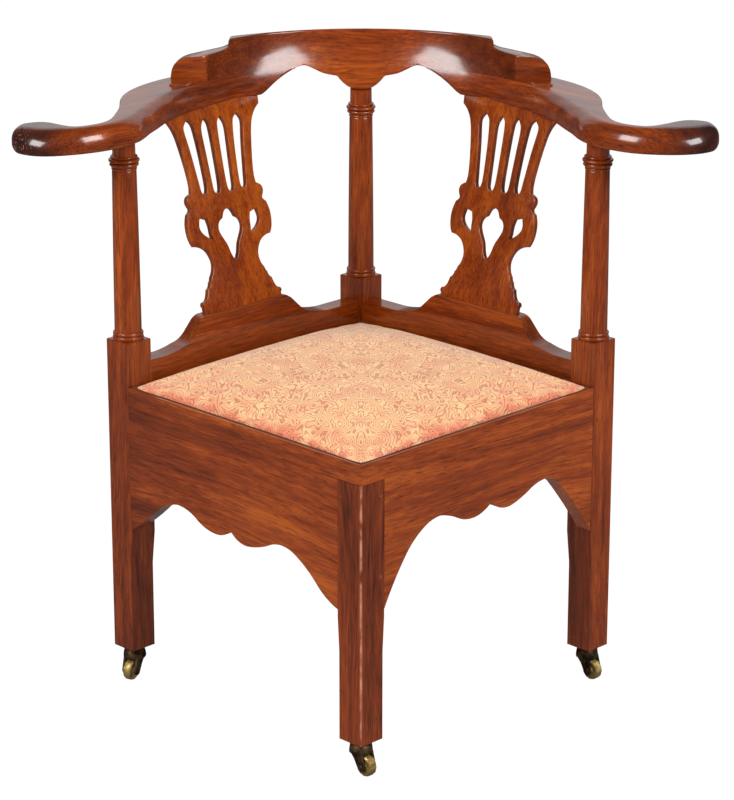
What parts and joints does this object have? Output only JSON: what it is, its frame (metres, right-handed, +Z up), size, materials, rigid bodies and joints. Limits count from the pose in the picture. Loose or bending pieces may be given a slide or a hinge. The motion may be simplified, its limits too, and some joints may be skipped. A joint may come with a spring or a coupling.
{
  "type": "corner chair",
  "caption": "Low-backed wooden corner chair: square slip seat set cornerwise, pierced splats, turned columns, bowed arms with a crest rail, shaped aprons and swivel casters.",
  "frame": {"origin": "centre of the overall box's base, on the floor", "axes": "+Z up, +X towards the right hand as seen from the front, -Y towards the front leg"},
  "size_m": [0.8746, 0.6662, 0.8055],
  "materials": {
    "mahogany": "polished reddish brown with darker edges",
    "inner_wood": "unpolished, aged",
    "seat_frame_wood": "unpolished",
    "webbing": "coarse jute weave",
    "damask": "woven damask, cream with salmon scrolls",
    "bronze": "dark, aged",
    "wheel_brass": "worn",
    "iron": "dull"
  },
  "bodies": {
    "chair": {"front_leg": "mahogany", "left_post": "mahogany", "right_post": "mahogany", "back_post": "mahogany", "front_left_apron": "mahogany", "front_right_apron": "mahogany", "front_left_lip": "mahogany", "front_right_lip": "mahogany", "back_left_rail": "mahogany", "back_right_rail": "mahogany", "left_shoe": "mahogany", "right_shoe": "mahogany", "left_splat": "mahogany", "right_splat": "mahogany", "left_arm": "mahogany", "right_arm": "mahogany", "crest_rail": "mahogany", "joint_pegs": "mahogany", "back_left_seat_ledge": "inner_wood", "back_right_seat_ledge": "inner_wood", "front_corner_block": "inner_wood", "left_corner_block": "inner_wood", "back_corner_block": "inner_wood", "right_corner_block": "inner_wood", "crest_screws": "iron", "caster_screws": "iron", "front_caster_plate": "bronze", "left_caster_plate": "bronze", "back_caster_plate": "bronze", "right_caster_plate": "bronze"},
    "slip_seat": {"seat_bar_back_left": "seat_frame_wood", "seat_bar_front_left": "seat_frame_wood", "seat_bar_front_right": "seat_frame_wood", "seat_bar_back_right": "seat_frame_wood", "seat_webbing": "webbing", "seat_cushion": "damask"},
    "front_swivel": {"front_caster_horn": "bronze", "front_caster_axle": "iron"},
    "front_wheel": {"front_caster_wheel": "wheel_brass"},
    "left_swivel": {"left_caster_horn": "bronze", "left_caster_axle": "iron"},
    "left_wheel": {"left_caster_wheel": "wheel_brass"},
    "back_swivel": {"back_caster_horn": "bronze", "back_caster_axle": "iron"},
    "back_wheel": {"back_caster_wheel": "wheel_brass"},
    "right_swivel": {"right_caster_horn": "bronze", "right_caster_axle": "iron"},
    "right_wheel": {"right_caster_wheel": "wheel_brass"}
  },
  "joints": [
    {"name": "slip_seat_lift", "type": "slide", "parent": "chair", "child": "slip_seat", "axis": [0, 0, 1], "range_m": [0, 0.15]},
    {"name": "front_caster_swivel", "type": "hinge", "parent": "chair", "child": "front_swivel", "pos_m": [0, -0.30662, 0.036], "axis": [0, 0, 1], "continuous": true},
    {"name": "front_wheel_spin", "type": "hinge", "parent": "front_swivel", "child": "front_wheel", "pos_m": [0.00682, -0.31393, 0.0135], "axis": [0.7314, 0.682, 0], "continuous": true},
    {"name": "left_caster_swivel", "type": "hinge", "parent": "chair", "child": "left_swivel", "pos_m": [-0.29875, -0.00787, 0.036], "axis": [0, 0, 1], "continuous": true},
    {"name": "left_wheel_spin", "type": "hinge", "parent": "left_swivel", "child": "left_wheel", "pos_m": [-0.30329, -0.01678, 0.0135], "axis": [0.891, -0.454, 0], "continuous": true},
    {"name": "back_caster_swivel", "type": "hinge", "parent": "chair", "child": "back_swivel", "pos_m": [0, 0.29089, 0.036], "axis": [0, 0, 1], "continuous": true},
    {"name": "back_wheel_spin", "type": "hinge", "parent": "back_swivel", "child": "back_wheel", "pos_m": [0.00174, 0.28104, 0.0135], "axis": [0.9848, 0.1736, 0], "continuous": true},
    {"name": "right_caster_swivel", "type": "hinge", "parent": "chair", "child": "right_swivel", "pos_m": [0.29875, -0.00787, 0.036], "axis": [0, 0, 1], "continuous": true},
    {"name": "right_wheel_spin", "type": "hinge", "parent": "right_swivel", "child": "right_wheel", "pos_m": [0.30557, -0.01518, 0.0135], "axis": [0.7314, 0.682, 0], "continuous": true}
  ]
}
